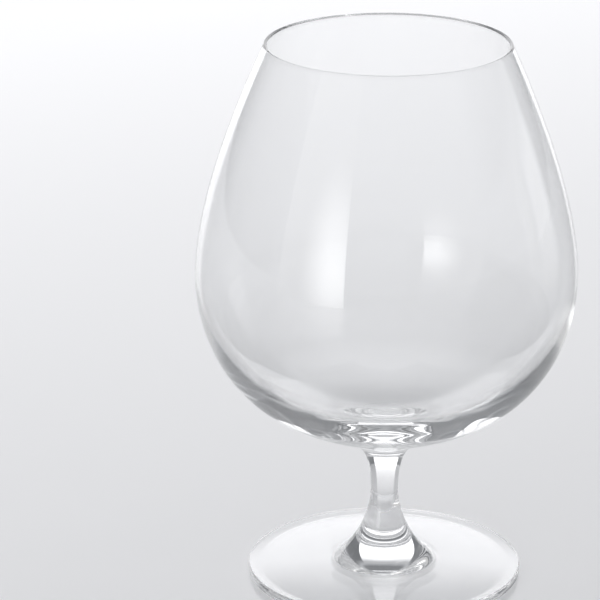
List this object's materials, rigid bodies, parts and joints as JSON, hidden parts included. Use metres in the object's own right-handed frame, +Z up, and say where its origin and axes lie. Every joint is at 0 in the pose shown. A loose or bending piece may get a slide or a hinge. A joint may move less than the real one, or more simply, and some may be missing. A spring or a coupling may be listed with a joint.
{
  "type": "brandy snifter",
  "caption": "Clear stemmed drinking glass: a wide balloon bowl that narrows to a thin rim, on a short waisted stem and a round foot.",
  "frame": {"origin": "on the axis of the glass, in the plane that the foot rests on", "axes": "+Z up along the axis from the foot to the rim; X and Y level, with every direction round the axis alike"},
  "size_m": [0.11, 0.11, 0.16],
  "materials": {
    "clear_glass": "fire-polished clear glass, colourless, smooth all over, with a bright edge at the rim and the foot"
  },
  "bodies": {
    "root": {"bowl": "clear_glass", "stem": "clear_glass", "foot": "clear_glass"}
  },
  "joints": []
}
